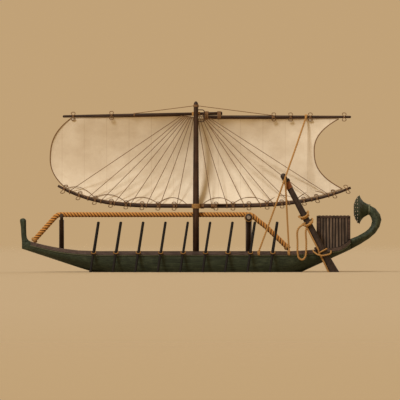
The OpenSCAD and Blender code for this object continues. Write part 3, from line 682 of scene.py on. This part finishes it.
def on_sail(u, v):
    x_foot, x_head = (leech_x(0, w) + (leech_x(1, w) - leech_x(0, w)) * u for w in (0, 1))
    x = leech_x(0, v) + (leech_x(1, v) - leech_x(0, v)) * u
    foot = boom_z(x_foot) + BOOM_RADIUS + CLOTH_GAP
    z = foot + (sail_head_z(x_head) - foot) * v
    fullness = max(0, math.sin(math.pi * u)) ** 0.7 * max(0, math.sin(math.pi * v)) ** 0.8
    pucker = 0.020 * math.sin(2 * math.pi * x / 0.80) * math.exp(-7 * v)
    pucker += 0.016 * math.sin(2 * math.pi * x / 1.05 + 1) * math.exp(-7 * (1 - v))
    slack = 0.018 * math.sin(2 * math.pi * (x + 1.6 * v) / 2.9) * fullness
    return Vector((x, SPAR_Y - BELLY * fullness + (pucker + slack) * min(1, 12 * v, 12 * (1 - v)), z))


SAIL_GRID = (156, 60)
columns, rows = SAIL_GRID
points = [on_sail(i / columns, j / rows) for j in range(rows + 1) for i in range(columns + 1)]
faces, uvs = [], []
for j in range(rows):
    for i in range(columns):
        a = j * (columns + 1) + i
        faces.append((a, a + columns + 1, a + columns + 2, a + 1))
        uvs.append([(points[k].x, points[k].z) for k in faces[-1]])
CLOTH_DARK, CLOTH_LIGHT = (0.64, 0.54, 0.395), (0.87, 0.79, 0.64)
PANEL_WIDTH = 1.05
LINEN = Finish("cream linen", 0.88)
width = LINEN.unwrapped(0) * (1 / PANEL_WIDTH)
weft = (LINEN.unwrapped(0) * 520.0).wave() * 0.5 + (LINEN.unwrapped(1) * 520.0).wave() * 0.5
slubs = LINEN.noise(LINEN.place((34, 34, 3)), 1.0, 3.0, 0.6)
clouds = LINEN.noise(LINEN.place((0.7, 0.7, 0.9)), 1.0, 6.0, 0.62)
stains = LINEN.noise(LINEN.place((2.2, 2.2, 2.2)), 1.0, 6.0, 0.68)
seam = ((width.part() - 0.5).size()).between(0.478, 0.492)
linen_tone = LINEN.mix(clouds.between(0.25, 0.75) * 0.7 + slubs * 0.3, CLOTH_DARK, CLOTH_LIGHT)
aged = LINEN.mix(stains.between(0.55, 0.85) * 0.35, linen_tone, (0.56, 0.43, 0.27))
LINEN.colour(LINEN.mix(seam * 0.22, aged, (0.44, 0.33, 0.21)))
LINEN.rough(0.80 + slubs * 0.15)
LINEN.bump(slubs * 0.5 + weft * 0.2 + seam * 0.6, 0.4, 0.004)
sail = mesh_piece("linen_sail", [(points, faces, uvs)], LINEN, "rig", 70)
thick = sail.modifiers.new("cloth", "SOLIDIFY")
thick.thickness = 0.004
thick.offset = 0
bpy.ops.object.modifier_apply(modifier="cloth")
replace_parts(sail, "sail")


def line_length(line):
    return sum((b - a).length for a, b in zip(line, line[1:]))


row_lengths = [line_length(points[j * (columns + 1):(j + 1) * (columns + 1)]) for j in range(rows + 1)]
column_lengths = [line_length(points[i::columns + 1]) for i in range(columns + 1)]
flat_area = sum((a + b) / 2 for a, b in zip(row_lengths, row_lengths[1:])) * sum(column_lengths) / (
    rows * (columns + 1))

edges = []
for end in (0, 1):
    edges.append(rope_mesh([on_sail(end, j / rows) for j in range(rows + 1)], 0.024))
edges.append(rope_mesh([on_sail(i / columns, 0.0) for i in range(columns + 1)], 0.015))
edges.append(rope_mesh([on_sail(i / columns, 1.0) for i in range(columns + 1)], 0.015))
bolt_rope = mesh_piece("bolt_rope", edges, BROWN_ROPE, "rig")

# ---- Robands: short brown ropes that tie the sail's head to the yard and its foot to the boom. Each
# goes round its spar in a figure of eight and stands off in a loop above and below it. A light rope
# runs along the foot in shallow arcs from tie to tie.
ROBAND_ROPE = 0.017
ROBAND_REACH = 0.195
BOOM_TIES = (6.20, 5.50, 4.75, 4.00, 3.29, 2.54, 1.79, 1.03, -0.94, -1.74, -2.49, -3.34, -4.04, -5.08,
             -5.69, -6.49, -7.10)
YARD_TIES = (5.77, 3.97, -3.66, -4.45, -5.38, -6.97)


def roband(x, z, spar, lean):
    """A figure of eight over the port face of a spar, leaning with the spar's own slope."""
    line = []
    for k in range(37):
        a = 2 * math.pi * k / 36
        reach = ROBAND_REACH * math.cos(a)
        line.append(Vector((x + 0.090 * math.sin(2 * a) - reach * lean,
                            SPAR_Y + (spar + 0.022) * math.exp(-(reach / 0.13) ** 4) + 0.012, z + reach)))
    return line


ties = []
for x in BOOM_TIES:
    slope = (boom_z(x + 0.05) - boom_z(x - 0.05)) / 0.1
    spar = spar_radius_at(x, BOOM_TIPS, BOOM_RADIUS)
    ties.append(rope_mesh(roband(x, boom_z(x), spar, slope), ROBAND_ROPE))
for x in YARD_TIES:
    spar = spar_radius_at(x, YARD_TIPS, YARD_RADIUS)
    ties.append(rope_mesh(roband(x, yard_z(x), spar, 0), ROBAND_ROPE))
mesh_piece("robands", ties, BROWN_ROPE, "rig")

FESTOON_SPANS = [(6.05, 4.75), (4.75, 3.29), (3.29, 1.79), (1.79, 0.45), (-0.35, -1.74), (-1.74, -3.34),
                 (-3.34, -4.70), (-4.70, -6.05)]
FESTOON_RISE = 0.30
festoons = []
for start, end in FESTOON_SPANS:
    line = []
    for k in range(17):
        t = k / 16
        x = start + (end - start) * t
        arc = FESTOON_RISE * math.sin(math.pi * t) ** 0.8
        u = (x - SAIL_FOOT[0]) / (SAIL_FOOT[1] - SAIL_FOOT[0])
        v = arc / (sail_head_z(x) - boom_z(x))
        cloth = on_sail(u, v)
        line.append(Vector((x, cloth.y + 0.020, boom_z(x) + BOOM_RADIUS + 0.02 + arc)))
    festoons.append(rope_mesh(smooth_path(line, 0.06), 0.013))
mesh_piece("foot_festoon", festoons, BROWN_ROPE, "rig")

# ---- Lifts: thin brown lines that fan from the middle of the yard to points all along the boom and
# carry its weight, and one line from the collar at the masthead to each half of the yard.
LIFT_ROPE = 0.016
LIFTS = (5.94, 5.08, 4.47, 3.84, 3.08, 2.33, 1.69, 0.90, -0.74, -1.46, -2.26, -3.04, -3.65, -4.40, -5.45,
         -6.25)
YARD_LIFTS = (2.90, -3.60)
lifts = []
for x in LIFTS:
    fast = x * (COLLAR_Z - yard_z(0) + YARD_RADIUS) / (COLLAR_Z - boom_z(x))
    lifts.append(rope_mesh([Vector((fast, SPAR_Y + 0.055, yard_z(fast) - 0.055)),
                            Vector((x, SPAR_Y + BOOM_RADIUS, boom_z(x) + 0.04))], LIFT_ROPE))
    lifts.append(rope_mesh(coil((x, SPAR_Y, boom_z(x)), (1, 0, 0), (0.098, 0.098), 2, 0.04), 0.012))
for x in YARD_LIFTS:
    lifts.append(rope_mesh([Vector((math.copysign(0.135, x), 0, COLLAR_Z)),
                            Vector((x, SPAR_Y, yard_z(x) + YARD_RADIUS))], LIFT_ROPE))
    lifts.append(rope_mesh(coil((x, SPAR_Y, yard_z(x)), (1, 0, 0), (0.088, 0.088), 3, 0.05), 0.012))
mesh_piece("lifts", lifts, BROWN_ROPE, "rig")

# ---- Hogging truss: a rope as thick as a leg, of three golden strands laid together, which runs from
# the foredeck over two forked props to the afterdeck and keeps the boat's ends from sinking. Turns of
# thinner rope whip its two feet and go round the toggle on the aft prop.
TRUSS_RADIUS = 0.125
TRUSS_Y = -0.30
TRUSS_ROUTE = [(7.66, 1.43), (6.52, 2.69), (-2.62, 2.69), (-2.90, 2.42), (-3.28, 2.14), (-4.38, 1.075)]
TRUSS_STEP = 0.045
GOLD_TRUSS = rope_finish("gold truss rope", (0.050, 0.017, 0.005), (0.62, 0.275, 0.052))


def bent_path(points, step, ease):
    """Straight runs joined by short smooth bends."""
    points = [Vector(p) for p in points]
    line = [points[0]]
    for before, corner, after in zip(points, points[1:], points[2:]):
        start = corner + (before - corner).normalized() * min(ease, (before - corner).length * 0.45)
        end = corner + (after - corner).normalized() * min(ease, (after - corner).length * 0.45)
        line.append(start)
        line += [start.lerp(corner, t).lerp(corner.lerp(end, t), t) for t in (0.25, 0.5, 0.75)]
        line.append(end)
    line.append(points[-1])
    even = [line[0]]
    for a, b in zip(line, line[1:]):
        count = max(1, round((b - a).length / step))
        even += [a.lerp(b, k / count) for k in range(1, count + 1)]
    return even


truss = bent_path([(x, TRUSS_Y, z) for x, z in TRUSS_ROUTE], TRUSS_STEP, 0.16)
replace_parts(mesh_piece("twisted_truss", [rope_mesh(truss, TRUSS_RADIUS, 3, 0.46, 6)], GOLD_TRUSS, "hull"),
            "truss_rope")

PROP_WOOD = wood_finish("prop timber", (0.024, 0.014, 0.010), (0.105, 0.070, 0.050), (30, 30, 1.0))
PROP_WOOD.coat(merged_copy("truss_prop_fore", "fore_prop", 40),
               merged_copy("truss_prop_aft", "aft_prop", 40))

WHIPPING = (0.142, 0.142)
seizings = [rope_mesh(coil((7.60, TRUSS_Y, 1.50), (-0.67, 0, 0.74), WHIPPING, 4, 0.085), 0.016),
            rope_mesh(coil((-4.28, TRUSS_Y, 1.17), (-0.7, 0, -0.71), WHIPPING, 4, 0.085), 0.016),
            rope_mesh(coil((-2.48, -0.075, 2.56), (0, 1, 0), (0.182, 0.182), 2, 0.045, 0.0, 28), 0.024)]
mesh_piece("truss_seizings", seizings, GOLD_ROPE, "hull")

TOGGLE_FACE = Vector((-2.48, -0.04, 2.56))
bpy.ops.object.select_all(action="DESELECT")
bpy.ops.mesh.primitive_cylinder_add(vertices=28, radius=0.088, depth=0.03, location=TOGGLE_FACE,
                                    rotation=(math.radians(90), 0, 0))
plug = bpy.context.object
edit(plug)
bpy.ops.mesh.select_all(action="SELECT")
bpy.ops.mesh.bevel(offset=0.006, segments=1)
done(plug, "toggle_plug", 40)
PALE_WOOD = wood_finish("pale timber", (0.26, 0.20, 0.145), (0.50, 0.41, 0.31), (30, 1.0, 30))
PALE_WOOD.coat(plug)
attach(plug, "hull")

# ---- Cabin: a small house on the afterdeck. Its walls are thin boards behind a frame of flat timbers,
# with upright slats between, and its roof is a flat platform with battens along its edges.
CABIN_WOOD = wood_finish("cabin timber", (0.010, 0.0065, 0.005), (0.028, 0.018, 0.013), (24, 24, 1.0))
SLAT_WOOD = wood_finish("slat timber", (0.030, 0.020, 0.014), (0.200, 0.140, 0.098), (9, 9, 0.8))
FRAME_WOOD = wood_finish("frame timber", (0.022, 0.012, 0.008), (0.085, 0.048, 0.032), (3, 24, 24))
for node in ("cabin_port_wall", "cabin_starboard_wall", "cabin_fore_wall", "cabin_aft_wall"):
    CABIN_WOOD.coat(frame["nodes"][node])
FRAME_WOOD.coat(frame["nodes"]["cabin_roof"])


def bar(low, high, bevel=0.006):
    """A square-cut timber between two corners, with its edges eased."""
    low, high = Vector(low), Vector(high)
    bpy.ops.object.select_all(action="DESELECT")
    bpy.ops.mesh.primitive_cube_add(size=1, location=(low + high) / 2)
    timber = bpy.context.object
    timber.scale = high - low
    bpy.ops.object.transform_apply(location=True, rotation=True, scale=True)
    edit(timber)
    bpy.ops.mesh.select_all(action="SELECT")
    bpy.ops.mesh.bevel(offset=bevel, segments=1)
    return done(timber)


walls_low, walls_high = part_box("cabin_port_wall")
roof_low, roof_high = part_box("cabin_roof")
CABIN_AFT, CABIN_FORE = walls_low[0], walls_high[0]
CABIN_HALF = walls_high[1]
SLAT_WIDTH = 0.082
SIDE_SLATS = 9
SLAT_PROUD = 0.022
FRAME_WIDTH = 0.12
FRAME_PROUD = 0.036
OFF_DECK = 0.004
slats, frames = [], []
for sign in (1, -1):
    inner, outer = sorted((sign * CABIN_HALF, sign * (CABIN_HALF + SLAT_PROUD)))
    flush, proud = sorted((sign * CABIN_HALF, sign * (CABIN_HALF + FRAME_PROUD)))
    for k in range(SIDE_SLATS):
        x = CABIN_AFT + FRAME_WIDTH + (CABIN_FORE - CABIN_AFT - 2 * FRAME_WIDTH) * (k + 0.5) / SIDE_SLATS
        deck = along_rail(x - SLAT_WIDTH / 2)[0] + OFF_DECK
        slats.append(bar((x - SLAT_WIDTH / 2, inner, deck), (x + SLAT_WIDTH / 2, outer, roof_low[2])))
    for x in (CABIN_AFT, CABIN_FORE - FRAME_WIDTH):
        deck = along_rail(x)[0] + OFF_DECK
        frames.append(bar((x, flush, deck), (x + FRAME_WIDTH, proud, roof_low[2])))
    frames.append(bar((CABIN_AFT, flush, roof_low[2] - 0.05), (CABIN_FORE, proud, roof_high[2])))
deck = along_rail(CABIN_FORE)[0] + OFF_DECK
slat_face, frame_face = CABIN_FORE + SLAT_PROUD, CABIN_FORE + FRAME_PROUD
for y in (-0.46, -0.34, 0.34, 0.46):
    slats.append(bar((CABIN_FORE, y - SLAT_WIDTH / 2, deck), (slat_face, y + SLAT_WIDTH / 2, roof_low[2])))
for y in (-CABIN_HALF + 0.02, CABIN_HALF - 0.02):
    frames.append(bar((CABIN_FORE, y - 0.05, deck), (frame_face, y + 0.05, roof_low[2])))
frames.append(bar((CABIN_FORE, -CABIN_HALF, roof_low[2] - 0.05), (frame_face, CABIN_HALF, roof_high[2])))
for k in range(9):
    x = CABIN_AFT + 0.10 + (CABIN_FORE - CABIN_AFT - 0.20) * k / 8
    slats.append(bar((x - 0.05, -CABIN_HALF, roof_high[2]), (x + 0.05, CABIN_HALF, roof_high[2] + 0.018)))
slats = joined("cabin_slats", slats)
frames = joined("cabin_frames", frames)
SLAT_WOOD.coat(slats)
FRAME_WOOD.coat(frames)
for piece in (slats, frames):
    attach(piece, "hull")

# ---- Steering oar: one heavy trunk with a long blade, which leans on a beam across the deck and hangs
# in a rope sling on the port quarter. Its head is a round knob, with a dark and an orange lashing under
# it, and slack golden rope collars lower down.
STEER_DEGREES = 27.9
STEER_RAKE = math.radians(STEER_DEGREES)
SLING = Vector((-5.95, 1.3516, 1.0))
UP_LOOM = Vector((math.sin(STEER_RAKE), 0, math.cos(STEER_RAKE)))
LOOM_ABOVE = 4.09
LOOM_WOOD = wood_finish("loom timber", (0.016, 0.010, 0.007), (0.056, 0.036, 0.026), (26, 26, 1.0),
                        (0, STEER_DEGREES, 0))
LOOM_WOOD.coat(merged_copy("steering_oar", "steering_loom", 45))
UPRIGHT_WOOD.coat(frame["nodes"]["steering_beam"])


def loom_radius(above):
    return 0.165 - 0.035 * above / LOOM_ABOVE


def loom_coil(above, turns, length, rope, slack=1.0, sag=0.0):
    """Turns of rope round the loom, which may stand off it and droop on its port side."""
    reach = (loom_radius(above) + 0.7 * rope) * slack
    line = coil(SLING + UP_LOOM * above, UP_LOOM, (reach, reach), turns, length, points=18)
    return rope_mesh([p - UP_LOOM * sag * max(0.0, p.y - SLING.y) / reach for p in line], rope)


ORANGE_CORD = rope_finish("orange cord", (0.09, 0.026, 0.010), (0.42, 0.150, 0.045))
mesh_piece("head_lashing", [loom_coil(LOOM_ABOVE - 0.64, 7, 0.32, 0.017)], ORANGE_CORD, "steering_oar")
DARK_CORD = rope_finish("dark cord", (0.010, 0.007, 0.005), (0.050, 0.034, 0.025))
mesh_piece("neck_lashing", [loom_coil(LOOM_ABOVE - 0.40, 2.2, 0.09, 0.036)], DARK_CORD, "steering_oar")
collars = [loom_coil(above, 1.05, 0.03, rope, slack, sag) for above, rope, slack, sag in (
    (LOOM_ABOVE - 2.14, 0.042, 1.42, 0.15), (LOOM_ABOVE - 2.30, 0.038, 1.10, 0.05),
    (LOOM_ABOVE - 2.54, 0.044, 1.45, 0.16), (LOOM_ABOVE - 2.66, 0.038, 1.15, 0.06))]
mesh_piece("loom_collars", collars, GOLD_ROPE, "steering_oar")

SLING_ROPE = 0.035
ring = coil(SLING, UP_LOOM, (0.212, 0.212), 1.02, 0.0, 0.25, 48)
bight = smooth_path([(-5.48, 1.20, 1.03), (-5.55, 1.40, 0.93), (-5.72, 1.55, 0.82), (-5.90, 1.575, 0.78),
                     (-6.08, 1.575, 0.80), (-6.29, 1.42, 0.86), (-6.33, 0.97, 1.00)], 0.05)
sling_parts = [rope_mesh(ring, SLING_ROPE, 3, 0.26, 4), rope_mesh(bight, 0.040, 3, 0.29, 4)]
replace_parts(mesh_piece("twisted_sling", sling_parts, GOLD_ROPE, "hull"), "steering_sling")

# ---- Loop and guy of the steering oar: a long loop of golden rope hangs from the lower collar down
# the boat's side, and one strand stands along the loom's fore edge from the collar to the water. The
# loom turns in the collar, and both stay where they are.
COLLAR = SLING + UP_LOOM * (LOOM_ABOVE - 2.55)
OUT = along_rail(-5.0)[1] + 0.06
loop = [COLLAR + Vector((0.10, 0.16, -0.05)), (-4.78, OUT + 0.05, 2.00), (-4.76, OUT + 0.01, 1.40),
        (-4.77, OUT, 0.85), (-4.83, OUT, 0.66), (-4.96, OUT, 0.58), (-5.09, OUT, 0.66), (-5.15, OUT, 0.85),
        (-5.17, OUT + 0.01, 1.40), (-5.16, OUT + 0.05, 2.00), COLLAR + Vector((-0.16, 0.14, 0.02))]
mesh_piece("hanging_loop", [rope_mesh(smooth_path(loop, 0.05), 0.050, 3, 0.34, 4)], GOLD_ROPE, "hull")

GUY_TOP = 1.44
GUY_LENGTH = 2.60
GUY_OFF = 0.050
guy = []
for k in range(25):
    above = GUY_TOP - GUY_LENGTH * k / 24
    turn = 0.7 if above > 0.12 else 0.35
    away = Vector((UP_LOOM.z, 0, -UP_LOOM.x)) * math.cos(turn) + Vector((0, 1, 0)) * math.sin(turn)
    widening = 0.05 * max(0.0, -above - 0.45)
    guy.append(SLING + UP_LOOM * above + away * (loom_radius(above) + widening + GUY_OFF))
mesh_piece("loom_guy", [rope_mesh(smooth_path(guy, 0.05), 0.047, 3, 0.32, 4)], GOLD_ROPE, "hull")

# ---- Braces: golden ropes from the after end of the yard, which come down past the head of the
# steering oar and part there into two legs made fast to the port rail.
BRACE_ROPE = 0.046
BRACE_X = -5.18
BRACE_TIES = (-2.95, -4.36)
PARTING = Vector((-4.18, 1.72, 4.42))
YARD_END = Vector((BRACE_X, SPAR_Y + 0.09, yard_z(BRACE_X)))
brace = smooth_path([YARD_END, YARD_END.lerp(PARTING, 0.5) + Vector((0, 0, -0.03)), PARTING], 0.06)
legs = []
for x in BRACE_TIES:
    top, face = along_rail(x)
    tie = Vector((x, face - 0.02, top + 0.02))
    legs.append(smooth_path([PARTING, PARTING.lerp(tie, 0.5) + Vector((0, 0, -0.04)), tie], 0.06))
parts = [rope_mesh(line, BRACE_ROPE, 3, 0.30, 4) for line in [brace] + legs]
braces = mesh_piece("braces", parts, GOLD_ROPE, None)
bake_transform(braces)
hitch = coil((BRACE_X, SPAR_Y, yard_z(BRACE_X)), (1, 0, 0), (0.100, 0.100), 3, 0.10)
mesh_piece("brace_hitch", [rope_mesh(hitch, 0.024)], GOLD_ROPE, "rig")
hitches = []
for x in BRACE_TIES:
    top, face = along_rail(x)
    hitches.append(rope_mesh(coil((x, face - RAIL_THICKNESS / 2, top - RAIL_HEIGHT / 2), (1, 0, 0),
                                  (RAIL_HEIGHT / 2 + 0.018, RAIL_THICKNESS / 2 + 0.018), 3, 0.12), 0.018))
mesh_piece("rail_hitches", hitches, GOLD_ROPE, "hull")

# ---- Rowing oars: nine on each side, slim shafts with leaf-shaped blades, painted black. Each works
# against the rail in a loop of golden rope that is rove through the rail.
OAR_PAINT = wood_finish("black oar paint", (0.0028, 0.0018, 0.0012), (0.0105, 0.0066, 0.0042),
                        (26, 26, 1.0), roughness=0.75)
GOLD_LOOPS = wood_finish("gold loops", (0.17, 0.075, 0.020), (0.52, 0.29, 0.09), (60, 14, 60),
                         roughness=0.8)
for name, obj in frame["nodes"].items():
    if name.endswith("_oar_loops"):
        GOLD_LOOPS.coat(obj)
    elif "_oar_" in name:
        OAR_PAINT.coat(obj)
